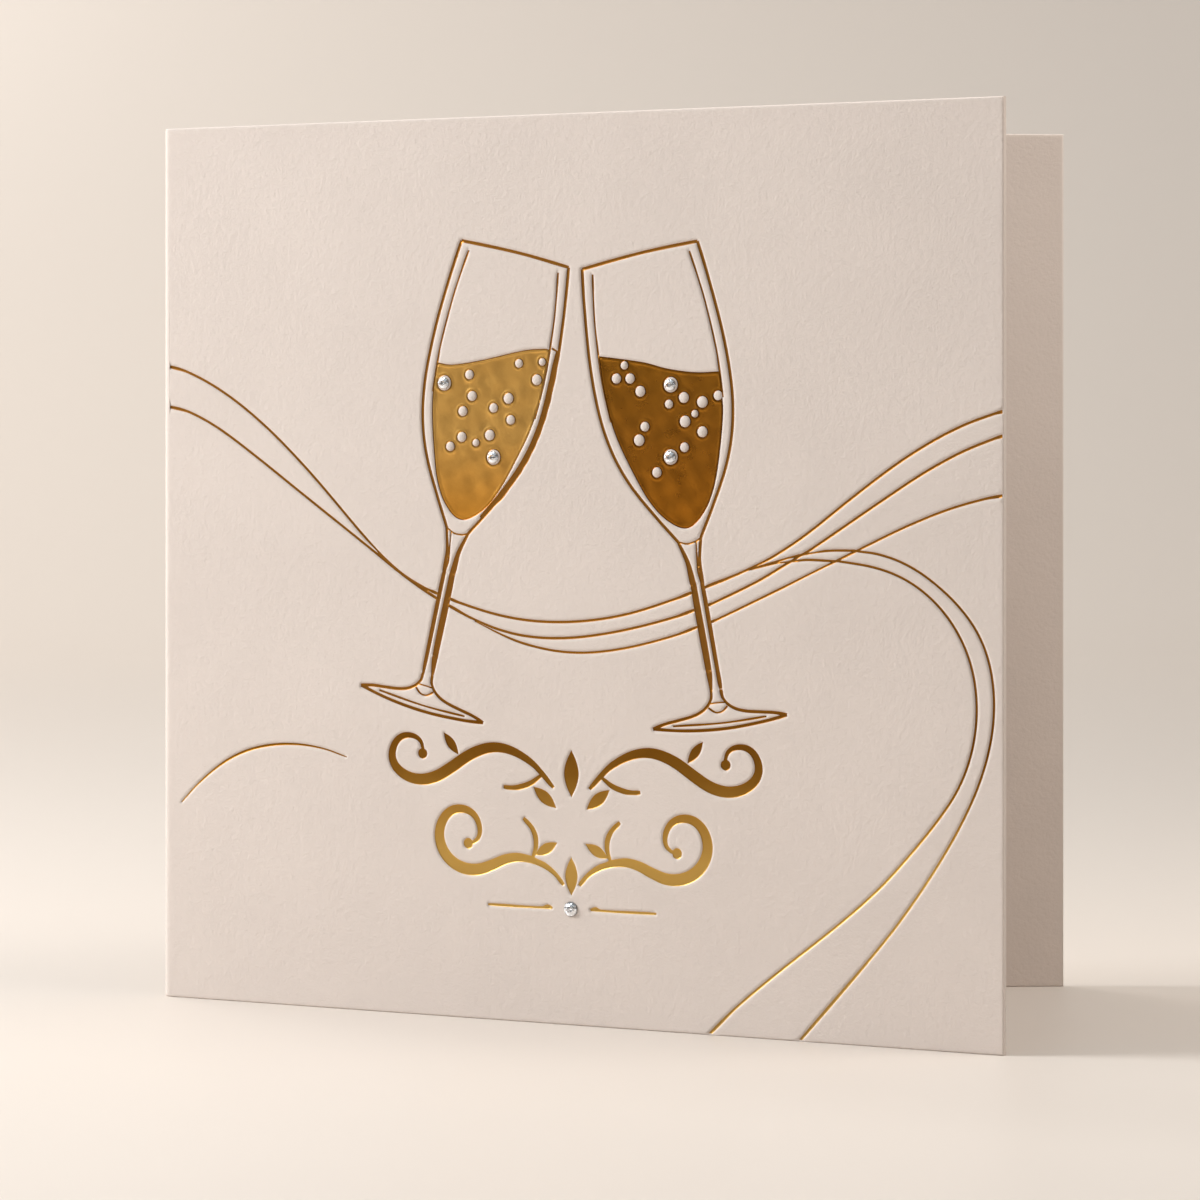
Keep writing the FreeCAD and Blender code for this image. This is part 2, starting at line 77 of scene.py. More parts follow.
# %% [markdown]
# The photograph was taken level, with the picture's centre moved below the horizon so that the card's
# upright edges stay upright. A long lens stands about 0.73 m from the fold, turned 28 degrees round the
# front panel. The same view could be had by tilting the camera, but then the uprights would lean.
# %% Camera
AZIMUTH = math.radians(28.08)
EYE = np.array([331.4, FRONT_Y - 608.3, 92.2])
FOCAL_PX = 4414.0
FRAME_PX = 1200.0
HORIZON_PX = 163.0

camera_data = bpy.data.cameras.new("camera")
camera_data.sensor_width = 36.0
camera_data.lens = camera_data.sensor_width * FOCAL_PX / FRAME_PX
camera_data.shift_y = -HORIZON_PX / FRAME_PX
camera_data.clip_start = 0.01
camera = bpy.data.objects.new("camera", camera_data)
camera.location = EYE * MM
camera.rotation_euler = (math.radians(90.0), 0.0, AZIMUTH)
bpy.context.scene.collection.objects.link(camera)
bpy.context.scene.camera = camera
print(f"lens {camera_data.lens:.1f} mm, shift {camera_data.shift_y:.3f}")

# %% [markdown]
# A foil patch is known by its outline: the edges that only one of its front triangles has. The front
# triangles are found by their normals. They run anticlockwise, seen from the front, so the foil always
# lies to the left of an outline edge, and that side is what every later step reads.
# %% Outline of a foil patch
FOILS = sorted(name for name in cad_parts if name.startswith("foil_"))
FACING = 0.9  # a front triangle's normal points at least this much towards the front


def open_edges(tris, count):
    """Directed edges that only one triangle has, in a net of so many points.

    An edge's code, lower end times count plus higher end, is the same for both of its triangles.
    """
    edges = np.concatenate([tris[:, [0, 1]], tris[:, [1, 2]], tris[:, [2, 0]]])
    code = np.sort(edges, axis=1) @ np.array([count, 1])
    _, first, times = np.unique(code, return_index=True, return_counts=True)
    return edges[first[times == 1]]


def front_outline(node):
    """Places (x, z) in millimetres and directed edges round a foil's front face."""
    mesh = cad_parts[node].data
    mesh.calc_loop_triangles()
    place = np.empty(len(mesh.vertices) * 3)
    mesh.vertices.foreach_get("co", place)
    place = place.reshape(-1, 3) / MM
    tris = np.empty(len(mesh.loop_triangles) * 3, int)
    mesh.loop_triangles.foreach_get("vertices", tris)
    tris = tris.reshape(-1, 3)
    corner = place[tris]
    normal = np.cross(corner[:, 1] - corner[:, 0], corner[:, 2] - corner[:, 0])
    front = normal[:, 1] < -FACING * np.linalg.norm(normal, axis=1)
    points, merged = np.unique(np.round(place[:, [0, 2]], decimals=4), axis=0, return_inverse=True)
    return points, open_edges(merged.reshape(-1)[tris[front]], len(points))


# %% [markdown]
# Where two lines of the drawing touch, a corner belongs to two outlines. The edge that follows is then
# the first one met when turning clockwise from the way back, because the foil lies on the left.
# %% Order of the edges
def next_edges(points, edges):
    """Edges sorted by their start, and the index of the edge after each."""
    edges = edges[np.argsort(edges[:, 0], kind="stable")]
    way = points[edges[:, 1]] - points[edges[:, 0]]
    angle = np.arctan2(way[:, 1], way[:, 0])
    first = np.searchsorted(edges[:, 0], edges[:, 1])
    last = np.searchsorted(edges[:, 0], edges[:, 1], side="right") - 1
    after, smallest = first.copy(), np.full(len(edges), np.inf)
    for choice in range((last - first).max() + 1):
        other = np.minimum(first + choice, last)
        turn = (angle + math.pi - angle[other]) % (2.0 * math.pi)
        after = np.where(turn < smallest, other, after)
        smallest = np.minimum(turn, smallest)
    return edges, after


# %% [markdown]
# The solids draw every curve in short chords. A real stamping die has smooth curves, so each chord is
# bent into a cubic that leaves and meets its ends along the line between the neighbouring corners. A
# chord that sags by s over a length L turns about 4 s / L at each end. Where that line turns further
# from the chord, the corner is meant, as at a line's end or a crossing, and the chord stays straight.
# %% Smooth the chords
CHORD_SAG = 0.085  # how far the solids' chords lie from their curves, in millimetres
SAG_MARGIN = 1.7  # a turn up to this many times the expected one still belongs to a curve
LARGEST_TURN = math.radians(40.0)  # a sharper turn is always a corner
TINY = 1e-12  # keeps a length of nothing from being divided by


def unit(vectors):
    """Vectors of length one."""
    return vectors / np.maximum(np.linalg.norm(vectors, axis=-1, keepdims=True), TINY)


def smooth_outline(points, edges, step):
    """Points along a directed outline and the index of the point after each.

    Hermite cubic: P(t) = (2t3-3t2+1) A + (t3-2t2+t) L Ta + (3t2-2t3) B + (t3-t2) L Tb.
    """
    edges, after = next_edges(points, edges)
    before = np.empty(len(edges), int)
    before[after] = np.arange(len(edges))
    start, end = points[edges[:, 0]], points[edges[:, 1]]
    length = np.linalg.norm(end - start, axis=1, keepdims=True)
    way = unit(end - start)
    mean = unit(end - start[before])
    allowed = np.cos(np.minimum(LARGEST_TURN, SAG_MARGIN * 4.0 * CHORD_SAG / length))
    leaves = np.where((mean * way).sum(1, keepdims=True) > allowed, mean, way)
    meets = np.where((mean[after] * way).sum(1, keepdims=True) > allowed, mean[after], way)
    pieces = np.maximum(1, np.ceil(length[:, 0] / step)).astype(int)
    first = np.cumsum(pieces) - pieces
    edge = np.repeat(np.arange(len(edges)), pieces)
    inner = np.arange(len(edge)) - first[edge]
    t = (inner / pieces[edge])[:, None]
    curve = (2 * t**3 - 3 * t**2 + 1) * start[edge] + (3 * t**2 - 2 * t**3) * end[edge]
    curve += length[edge] * ((t**3 - 2 * t**2 + t) * leaves[edge] + (t**3 - t**2) * meets[edge])
    following = np.where(inner + 1 < pieces[edge], np.arange(len(edge)) + 1, first[after[edge]])
    return curve, following


OUTLINE_STEP = 0.45  # largest distance between two points of an outline
curves, nexts, owner = [], [], []
for number, node in enumerate(FOILS):
    curve, following = smooth_outline(*front_outline(node), OUTLINE_STEP)
    nexts.append(following + sum(map(len, curves)))
    curves.append(curve)
    owner.append(np.full(len(curve), number))
outline = np.concatenate(curves)
following = np.concatenate(nexts)
owner = np.concatenate(owner)
print("outline points", len(outline), "of", len(FOILS), "foils")

# %% [markdown]
# The relief depends on one number: how far a place is from the nearest outline. Measured against every
# piece of outline it would be slow, so the panel is cut into tiles and each tile looks only at the
# pieces near it. Which side a place lies on is found row by row, by counting outlines to its right.
# %% Distance to the outlines, and which side
REACH = 1.2  # a distance is measured no further than this, in millimetres
TILE = 4.0  # side of a tile
ROW_CODE = 100003  # larger than any tile's number, so each tile has a code of its own


def groups(codes):
    """For each different code, the indices that have it."""
    order = np.argsort(codes, kind="stable")
    cuts = np.flatnonzero(np.diff(codes[order])) + 1
    return np.split(order, cuts)


def distance(places, start, end):
    """Distance of each place to the nearest segment, no more than REACH."""
    found = np.full(len(places), REACH)
    low, high = np.minimum(start, end) - REACH, np.maximum(start, end) + REACH
    cells = np.floor(places / TILE).astype(int)
    for members in groups(cells[:, 0] * ROW_CODE + cells[:, 1]):
        corner = cells[members[0]] * TILE
        near = np.flatnonzero(np.all((low < corner + TILE) & (high > corner), axis=1))
        if not len(near):
            continue
        a, along = start[near], end[near] - start[near]
        rel = places[members][:, None] - a
        t = np.clip((rel * along).sum(2) / np.maximum((along**2).sum(1), TINY), 0.0, 1.0)
        away = np.linalg.norm(rel - t[..., None] * along, axis=2)
        found[members] = np.minimum(REACH, away.min(1))
    return found


def enclosed(places, start, end):
    """True where a ray to the right crosses the outline an odd number of times."""
    inside = np.zeros(len(places), bool)
    low, high = np.minimum(start[:, 1], end[:, 1]), np.maximum(start[:, 1], end[:, 1])
    for members in groups(np.floor(places[:, 1]).astype(int)):
        z = places[members, 1]
        near = np.flatnonzero((low <= z.max()) & (high >= z.min()))
        a, b = start[near], end[near]
        crosses = (a[:, 1] > z[:, None]) != (b[:, 1] > z[:, None])
        rise = np.where(np.abs(b[:, 1] - a[:, 1]) < TINY, TINY, b[:, 1] - a[:, 1])
        at = a[:, 0] + (z[:, None] - a[:, 1]) * (b[:, 0] - a[:, 0]) / rise
        inside[members] = (crosses & (places[members, 0][:, None] < at)).sum(1) % 2 == 1
    return inside


# %% [markdown]
# The sheet is drawn flat first: u runs along it, over the front panel, round the fold and over the back
# panel, and z runs up. The relief's points lie in rows along each outline, close together at the gold's
# edge and further apart away from it, so the small forms get the triangles and the bare paper few.
# %% Points of the flat sheet
EDGE_R = 0.25  # roundness of the sheet's cut edge
TURN = math.pi - OPENING
U_FOLD = FOLD_R - 0.5 * PANEL_W
U_BACK = U_FOLD - FOLD_R * TURN
U_MIN, U_MAX = U_BACK - (PANEL_W - FOLD_R) + EDGE_R, 0.5 * PANEL_W - EDGE_R
Z_MIN, Z_MAX = EDGE_R, PANEL_H - EDGE_R
ROWS_OUT = (0.06, 0.14, 0.26, 0.42, 0.62, 0.85)  # rows of points on the paper beside an outline
ROWS_IN = (0.05, 0.11, 0.30, 0.44, 0.60, 0.80, 1.05)  # and on the gold
ROW_WINE = 0.19  # one more row for the bead of a wine field
ROW_SHARE = 0.94  # a point much nearer to another outline than its row is left out
WINE_GRID = 0.45  # between points in the middle of a wine field
WINE_START = 1.1  # how far from the outlines that middle begins
BARE_GRID = 4.0  # between points on the bare paper
TOO_CLOSE = 0.045  # of points closer than this, one is kept

way = unit(outline[following] - outline)
arriving = np.empty_like(way)
arriving[following] = way
inward = unit(np.stack([-(way + arriving)[:, 1], (way + arriving)[:, 0]], axis=1))
wines = [number for number, name in enumerate(FOILS) if name.endswith("wine")]
of_wine = np.isin(owner, wines)
rows = [outline - gap * inward for gap in ROWS_OUT] + [outline + gap * inward for gap in ROWS_IN]
rows.append((outline + ROW_WINE * inward)[of_wine])
gaps = np.repeat(ROWS_OUT + ROWS_IN, len(outline))
gaps = np.concatenate([gaps, np.full(of_wine.sum(), ROW_WINE)])
relief = np.concatenate(rows)
clear = distance(relief, outline, outline[following]) > ROW_SHARE * gaps
relief = relief[clear]
for number in wines:
    mine = owner == number
    low, high = outline[mine].min(0), outline[mine].max(0)
    grid = np.meshgrid(*[np.arange(a, b, WINE_GRID) for a, b in zip(low, high)])
    grid = np.stack(grid, -1).reshape(-1, 2)
    grid = grid[enclosed(grid, outline[mine], outline[following][mine])]
    relief = np.concatenate([relief, grid[distance(grid, outline, outline[following]) > WINE_START]])
bare = np.meshgrid(np.arange(U_FOLD, U_MAX, BARE_GRID), np.arange(Z_MIN, Z_MAX, BARE_GRID))
bare = np.stack(bare, -1).reshape(-1, 2)
relief = np.concatenate([relief, bare[distance(bare, outline, outline[following]) >= REACH]])
_, first = np.unique(np.round(relief / TOO_CLOSE).astype(int), axis=0, return_index=True)
relief = relief[np.sort(first)]
print("relief points", len(relief))

# %% [markdown]
# The points are joined into triangles by a constrained Delaunay net: it keeps every outline as a row of
# edges, so the foil can later be lifted out of the same net with no gap between gold and paper. Uprights
# across the fold let it bend in even steps, and points along the front panel's border keep the relief
# of a line that runs off the edge from pulling on the bare paper beside it. A lining of points just
# inside the border keeps the rounded edge's shading at the edge.
# %% Net of the sheet
FOLD_STEPS = 14  # round the fold's arc
BORDER_STEP = 1.5  # between points along the front panel's border
BORDER_START, BORDER_END = 1.0, 0.5  # how far from the panel's corners they begin and end
BACK_STEP = 8.0  # between points along the back panel's border
LINING = 0.35  # how far inside the border the lining lies
BORDER_CLEAR = 0.02  # relief nearer than this to the border is left out
NET_MERGE = 1e-5  # points of the net closer than this become one


def row_points(u, z):
    """Points of a straight row, u or z being the same all along."""
    return np.stack(np.broadcast_arrays(np.asarray(u, float), np.asarray(z, float)), 1)


def net(points, edges):
    """Points and triangles of a constrained Delaunay net over the whole of the points."""
    corners = [Vector(p) for p in points]
    whole, with_ids = 0, False
    out = delaunay_2d_cdt(corners, edges.tolist(), [], whole, NET_MERGE, with_ids)
    return np.array([tuple(p) for p in out[0]]), np.array(out[2])


fold_u = U_FOLD - np.linspace(0.0, 1.0, FOLD_STEPS + 1) * FOLD_R * TURN
frame_u = np.concatenate([[U_MAX], fold_u, [U_MIN]])
border = np.concatenate([row_points(frame_u, Z_MIN), row_points(frame_u, Z_MAX)])
count = len(frame_u)
steps = np.arange(count - 1)
border_edges = np.concatenate([
    np.stack([steps, steps + 1], 1),
    np.stack([steps + count, steps + count + 1], 1),
    np.stack([np.arange(count), np.arange(count) + count], 1),
])
inside = (relief > [U_FOLD + BORDER_CLEAR, Z_MIN + BORDER_CLEAR]).all(1)
inside &= (relief < [U_MAX - BORDER_CLEAR, Z_MAX - BORDER_CLEAR]).all(1)
across = np.arange(U_FOLD + BORDER_START, U_MAX - BORDER_END, BORDER_STEP)
up = np.arange(Z_MIN + BORDER_START, Z_MAX - BORDER_END, BORDER_STEP)
behind = np.arange(U_MIN + BACK_STEP, U_BACK - BORDER_START, BACK_STEP)
border_rows = [row_points(across, z) for z in (Z_MIN, Z_MAX)]
border_rows += [row_points(u, up) for u in (U_FOLD, U_MAX)]
around = np.concatenate([fold_u[1:], behind])
lining = [row_points(around, z) for z in (Z_MIN + LINING, Z_MAX - LINING)]
lining += [row_points(u, up) for u in (U_BACK - LINING, U_MIN + LINING)]
front_lining = [row_points(across, z) for z in (Z_MIN + LINING, Z_MAX - LINING)]
front_lining += [row_points(u, up) for u in (U_FOLD + LINING, U_MAX - LINING)]
front_lining = np.concatenate(front_lining)
apart = distance(front_lining, outline, outline[following]) > LINING
points = np.concatenate([border, outline, relief[inside], *border_rows, *lining, front_lining[apart]])
outline_edges = np.stack([np.arange(len(outline)), following], 1) + len(border)
edges = np.concatenate([border_edges, outline_edges])
sheet, tris = net(points, edges)
middle = sheet[tris].mean(1)
tris = tris[(middle > [U_MIN, Z_MIN]).all(1) & (middle < [U_MAX, Z_MAX]).all(1)]
used, tris = np.unique(tris, return_inverse=True)
sheet, tris = sheet[used], tris.reshape(-1, 3)
print("sheet net", len(sheet), "points", len(tris), "triangles")

# %% [markdown]
# A triangle is gold if its middle lies inside a foil's outline. A point is inside the gold if all its
# triangles are, and on the outline if only some are.
# %% Which triangles are gold
middle = sheet[tris].mean(1)
gold = np.full(len(tris), -1)
for number in range(len(FOILS)):
    mine = owner == number
    hit = enclosed(middle, outline[mine], outline[following][mine])
    gold[hit & (gold < 0)] = number
touch = np.zeros((len(sheet), 2), int)
np.add.at(touch[:, 0], tris.ravel(), 1)
np.add.at(touch[:, 1], tris.ravel(), np.repeat(gold >= 0, 3))
in_gold = touch[:, 0] == touch[:, 1]
in_wine = np.zeros(len(sheet), bool)
in_wine[tris[np.isin(gold, wines)].ravel()] = True
away = distance(sheet, outline, outline[following])
away[(touch[:, 1] > 0) & ~in_gold] = 0.0
print("gold triangles", int((gold >= 0).sum()))

# %% [markdown]
# The bubbles are rounds of bare card that the die left standing, so each is a small round outline in a
# wine field. The larger rounds carry the stones, and the longest outline is the field's own. Outlines
# are told apart by following each point's next one, twice as far at each step, to the lowest number.
# %% Bubbles
SMALL_ROUND = 1.05  # a round of a larger radius carries a stone


def outline_numbers(following):
    """A number for each point that is the same all round its outline."""
    label, jump = np.arange(len(following)), following
    for _ in range(int(math.log2(len(following))) + 1):
        label, jump = np.minimum(label, label[jump]), jump[jump]
    return np.unique(label, return_inverse=True)[1]


label = outline_numbers(following)
size = np.bincount(label)
centre = np.stack([np.bincount(label, outline[:, axis]) / size for axis in (0, 1)], 1)
radius = np.bincount(label, np.linalg.norm(outline - centre[label], axis=1)) / size
small = (radius < SMALL_ROUND) & (np.bincount(label, of_wine) > 0)
bubble, bubble_r = centre[small], radius[small]
print("bubbles", len(bubble), "radius", bubble_r.min().round(2), "to", bubble_r.max().round(2))

# %% [markdown]
# The die bends the paper before it cuts into it, so the face slopes softly into every groove, and the
# foil lies in a shallow trough. The wine fields have more: a raised bead follows their edge and goes
# round every bubble, and the floor inside it swells a little, which is what makes a large piece of foil
# glitter. Depth is measured into the sheet.
# %% Depth of the pressing
SHOULDER = 0.42  # how far from the gold the paper begins to slope
TROUGH = 0.11  # how far inside the gold the floor is reached
EDGE_SHARE = 0.8  # share of the depth that the slope has at the gold's edge
BEAD_AT, BEAD_HALF, BEAD_H = 0.33, 0.20, 0.04  # place, half width and height of the bead
SWELL, SWELL_SIZE, SWELL_SEED = 0.05, 5.0, 4  # the wine floor's unevenness
SWELL_START = 0.3  # share of REACH where it begins
WAVES = 7
WAVE_RANGE = (0.7, 1.6)
LARGEST_PHASE = 6.3
DOME_SHARE = 0.95  # share of the bubble's rise that its dome reaches
DOME_END = 0.98  # share of its radius within which the dome is drawn


def swell(places, size, seed):
    """Smooth unevenness, mostly between -1 and 1: twice the mean of sin(k . place + phase).

    Each k points in a random direction and is 2 pi / size long, times a number in WAVE_RANGE.
    """
    random = np.random.default_rng(seed)
    turn = random.uniform(0.0, 2.0 * math.pi, WAVES)
    wave = random.uniform(*WAVE_RANGE, WAVES) * 2.0 * math.pi / size
    phase = places @ np.stack([np.cos(turn), np.sin(turn)]) * wave
    phase += random.uniform(0.0, LARGEST_PHASE, WAVES)
    return np.sin(phase).mean(1) * 2.0


def depth_of(places, gap, gold_side, wine_side):
    """Depth into the sheet.

    Paper: EDGE_SHARE (1 - gap / SHOULDER)^2 of the pressing. Foil: from there to the whole pressing
    along 1 - (1 - gap / TROUGH)^2. Wine: less the bead BEAD_H (1 + cos(pi x)) / 2, where x is
    (gap - BEAD_AT) / BEAD_HALF. Bubble: an ellipse from the foil's edge up to DOME_SHARE of the rise.
    """
    slope = EDGE_SHARE * np.clip(1.0 - gap / SHOULDER, 0.0, 1.0) ** 2
    floor = EDGE_SHARE + (1.0 - EDGE_SHARE) * (1.0 - np.clip(1.0 - gap / TROUGH, 0.0, 1.0) ** 2)
    depth = PRESS * np.where(gold_side, floor, slope)
    x = np.clip((gap - BEAD_AT) / BEAD_HALF, -1.0, 1.0)
    bead = BEAD_H * 0.5 * (1.0 + np.cos(math.pi * x))
    waves = SWELL * swell(places, SWELL_SIZE, SWELL_SEED) * np.clip(gap / REACH - SWELL_START, 0.0, 1.0)
    depth += np.where(gold_side & wine_side, waves - bead, 0.0)
    across = np.linalg.norm(places[:, None] - bubble, axis=2)
    which = (across / bubble_r).argmin(1)
    share = across[np.arange(len(places)), which] / bubble_r[which]
    height = EDGE_SHARE * PRESS + DOME_SHARE * BUBBLE_RISE
    dome = EDGE_SHARE * PRESS - height * np.sqrt(np.clip(1.0 - share**2, 0.0, 1.0))
    return np.where((share < DOME_END) & ~gold_side, dome, depth)


depth = depth_of(sheet, away, in_gold, in_wine)
print(f"depth from {depth.min():.2f} to {depth.max():.2f}")

# %% [markdown]
# Folding is one formula: a place keeps its height, and its distance along the sheet becomes a distance
# along the front panel, round the fold's arc or along the back panel. Depth shortens the arc's radius.
# %% Fold the sheet
def folded(flat, into):
    """Places in metres of flat-sheet places (u, z) at a depth into the sheet.

    On the arc: x = U_FOLD - r sin(turn), y = FRONT_Y + FOLD_R - r cos(turn), r = FOLD_R - into.
    """
    past = U_FOLD - flat[:, 0]
    turn = np.clip(past / FOLD_R, 0.0, TURN)
    along = np.maximum(past - FOLD_R * TURN, 0.0)
    x = np.maximum(flat[:, 0], U_FOLD) - (FOLD_R - into) * np.sin(turn) + along * math.cos(OPENING)
    y = FRONT_Y + FOLD_R - (FOLD_R - into) * np.cos(turn) + along * math.sin(OPENING)
    return np.stack([x, y, flat[:, 1]], 1) * MM


def make_piece(name, places, faces, smooth_angle):
    """A mesh object at the origin, smooth below an angle, with its faces turned outwards.

    The sum of a . (b x c) over the faces has the sign of the volume they close in.
    """
    mesh = bpy.data.meshes.new(name)
    mesh.from_pydata(places.tolist(), [], [list(face) for face in faces])
    corners = places[np.array([face[:3] for face in faces])]
    volume = np.einsum("ij,ij->i", corners[:, 0], np.cross(corners[:, 1], corners[:, 2])).sum()
    if volume < 0.0:
        mesh.flip_normals()
    mesh.shade_smooth()
    mesh.set_sharp_from_angle(angle=math.radians(smooth_angle))
    mesh.validate()
    piece = bpy.data.objects.new(name, mesh)
    bpy.context.scene.collection.objects.link(piece)
    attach(piece, "root")
    return piece


# %% [markdown]
# Between the sheet's two faces runs the cut edge: rings of points that follow a quarter round, go
# straight through the board, and follow another quarter round, as a die leaves a heavy board. A Bevel
# modifier could round it too, but it would also catch on the relief that runs off the edge.
# %% The cut edge
AT_BORDER = 1e-3  # a point closer to the border than this is one of the border's
ROUND_TURNS = np.radians([30.0, 60.0, 90.0])


def ring_of(flat):
    """Indices of the border's points, in order: along the foot, up, back along the top and down."""
    on_low = np.abs(flat - [U_MIN, Z_MIN]) < AT_BORDER
    on_high = np.abs(flat - [U_MAX, Z_MAX]) < AT_BORDER
    foot, free = np.flatnonzero(on_low[:, 1]), np.flatnonzero(on_high[:, 0])
    top, back = np.flatnonzero(on_high[:, 1]), np.flatnonzero(on_low[:, 0])
    foot, free = foot[np.argsort(flat[foot, 0])], free[np.argsort(flat[free, 1])]
    top, back = top[np.argsort(-flat[top, 0])], back[np.argsort(-flat[back, 1])]
    return np.concatenate([foot[:-1], free[:-1], top[:-1], back[:-1]])


ring = ring_of(sheet)
rim = sheet[ring]
outward = (np.abs(rim - [U_MAX, Z_MAX]) < AT_BORDER).astype(float)
outward -= np.abs(rim - [U_MIN, Z_MIN]) < AT_BORDER
profile = [(math.sin(a), EDGE_R * (1.0 - math.cos(a))) for a in ROUND_TURNS]
profile += [(share, SHEET_T - into) for share, into in profile[::-1]]
layers = [folded(rim + outward * EDGE_R * share, np.maximum(into, depth[ring] * (1 - into / SHEET_T)))
          for share, into in profile]
print("cut edge", len(layers), "rings of", len(ring), "points")

# %% [markdown]
# The sheet's inside face is plain, so its net needs only the border, a lining and the fold's uprights.
# The outer face, the rings and the inner face are joined into one closed mesh.
# %% The card
CARD_SMOOTH = 50.0  # degrees: an edge that bends less than this is shaded smooth
inner_edges = np.stack([np.arange(len(ring)), np.roll(np.arange(len(ring)), -1)], 1)
on_foot = {round(float(u), 3): i for i, (u, z) in enumerate(rim) if abs(z - Z_MIN) < AT_BORDER}
on_top = {round(float(u), 3): i for i, (u, z) in enumerate(rim) if abs(z - Z_MAX) < AT_BORDER}
uprights = [(on_foot[round(float(u), 3)], on_top[round(float(u), 3)]) for u in fold_u]
inset = rim - outward * LINING
inner, inner_tris = net(np.concatenate([rim, inset]), np.concatenate([inner_edges, uprights]))
places = np.concatenate([folded(sheet, depth), *layers, folded(inner, np.full(len(inner), SHEET_T))])
starts = [ring] + [len(sheet) + k * len(ring) + np.arange(len(ring)) for k in range(len(layers) + 1)]
faces = tris.tolist() + (inner_tris[:, ::-1] + len(sheet) + len(layers) * len(ring)).tolist()
for here, there in zip(starts, starts[1:]):
    faces += np.stack([here, there, np.roll(there, -1), np.roll(here, -1)], 1).tolist()
card = make_piece("pressed_card", places, faces, CARD_SMOOTH)
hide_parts("card_sheet")
print("card", len(places), "points,", len(faces), "faces")
print("inner net kept its order:", np.allclose(inner[:len(rim)], rim, atol=AT_BORDER))

# %% [markdown]
# Each foil is the gold part of the same net, lifted off the paper by the film's thickness and closed
# underneath and round its edge. A flat cut-out laid on top would float over the grooves' slopes. Every
# point keeps how near it lies to an outline, exp(-(distance / 0.24 mm) squared), for the painted shade
# there.
# %% The foils
FILM = 0.02  # thickness of the film
FOIL_SMOOTH = 60.0
EDGE_FADE = 0.24  # how far the painted shade on the gold reaches from an outline
foils = {}
for number, node in enumerate(FOILS):
    own = tris[gold == number]
    used, own = np.unique(own, return_inverse=True)
    own = own.reshape(-1, 3)
    top_and_bottom = [folded(sheet[used], depth[used] - FILM), folded(sheet[used], depth[used])]
    under = len(used)
    start, end = open_edges(own, under).T
    walls = np.stack([end, start, start + under, end + under], 1)
    faces = own.tolist() + (own[:, ::-1] + under).tolist() + walls.tolist()
    name = node.replace("foil_", "") + "_gold"
    foil = make_piece(name, np.concatenate(top_and_bottom), faces, FOIL_SMOOTH)
    near = np.exp(-np.square(away[used] / EDGE_FADE)).astype(np.float32)
    near_edge = foil.data.attributes.new("near_edge", "FLOAT", "POINT")
    near_edge.data.foreach_set("value", np.tile(near, 2))
    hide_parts(node)
    foils[node] = foil
    print(name, len(own), "triangles on top")

# %% [markdown]
# A flat-backed stone is clear glass, cut with a flat table, a crown of kite facets between table and
# girdle, and a thin girdle. Rings of corners, turned half a facet from each other, give the kites as
# pairs of triangles, and no face is smoothed, because every facet has to catch the light by itself.
# A cone of mirrored facets inside stands for the foil on its back, which is what makes it glitter.
# %% The stones
STONE_SIDES = 10
STONE_SMOOTH = 1.0
# Each ring: share of the radius, share of the height, and twist in facets.
STONE_RINGS = ((1.0, 0.0, 0.0), (1.0, 0.22, 0.0), (0.80, 0.66, 0.5), (0.52, 1.0, 0.0))
MIRROR_RINGS = ((0.90, 0.10, 0.0), (0.88, 0.16, 0.0), (0.42, 0.62, 0.5), (0.12, 0.30, 0.0))


def stone(node, name, profile):
    """Cut body in a crystal node's box: rings (share of radius, share of height, twist), closed."""
    low, high = box_mm(node)
    middle, radius, height = 0.5 * (low + high), 0.5 * (high[0] - low[0]), high[1] - low[1]
    rings = []
    for share, rise, twist in profile:
        turn = 2.0 * math.pi * (np.arange(STONE_SIDES) + twist) / STONE_SIDES
        x, z = middle[0] + share * radius * np.cos(turn), middle[2] + share * radius * np.sin(turn)
        rings.append(np.stack([x, np.full(STONE_SIDES, high[1] - rise * height), z], 1))
    here = np.arange(STONE_SIDES)
    there = np.roll(here, -1)
    faces = [here[::-1].tolist(), (here + 3 * STONE_SIDES).tolist()]
    faces += np.stack([here, there, there + STONE_SIDES, here + STONE_SIDES], 1).tolist()
    for level, step in ((1, 0), (2, 1)):
        a, b = here + level * STONE_SIDES, there + level * STONE_SIDES
        c, d = a + STONE_SIDES, b + STONE_SIDES
        first = np.stack([a, b, c if step == 0 else d], 1)
        second = np.stack([c, b, d], 1) if step == 0 else np.stack([a, d, c], 1)
        faces += first.tolist() + second.tolist()
    return make_piece(name, np.concatenate(rings) * MM, faces, STONE_SMOOTH)


stones, mirrors = [], []
for node in sorted(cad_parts):
    if node.startswith("crystal_"):
        stones.append(stone(node, node.replace("crystal", "stone"), STONE_RINGS))
        mirrors.append(stone(node, node.replace("crystal", "mirror"), MIRROR_RINGS))
        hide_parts(node)
print("stones", len(stones))

# %% [markdown]
# Card stock is matt and slightly warm, with a fine felt tooth. Two noises on the card's own place make
# it. A fine one, under a millimetre across, lifts the tooth, and a broad one mottles the colour a
# little, which keeps large bare areas from looking like plastic. A picture of paper could be laid over
# the card instead, but it would show its seams, and this works at any size.
# %% Card stock
def new_material(name):
    """A material with its shader, and a helper that adds a node with its inputs set."""
    material = bpy.data.materials.new(name)
    material.use_nodes = True
    tree = material.node_tree

    def add(kind, **inputs):
        node = tree.nodes.new(kind)
        for key, value in inputs.items():
            node.inputs[key.replace("_", " ")].default_value = value
        return node

    return material, tree.nodes["Principled BSDF"], add, tree.links.new


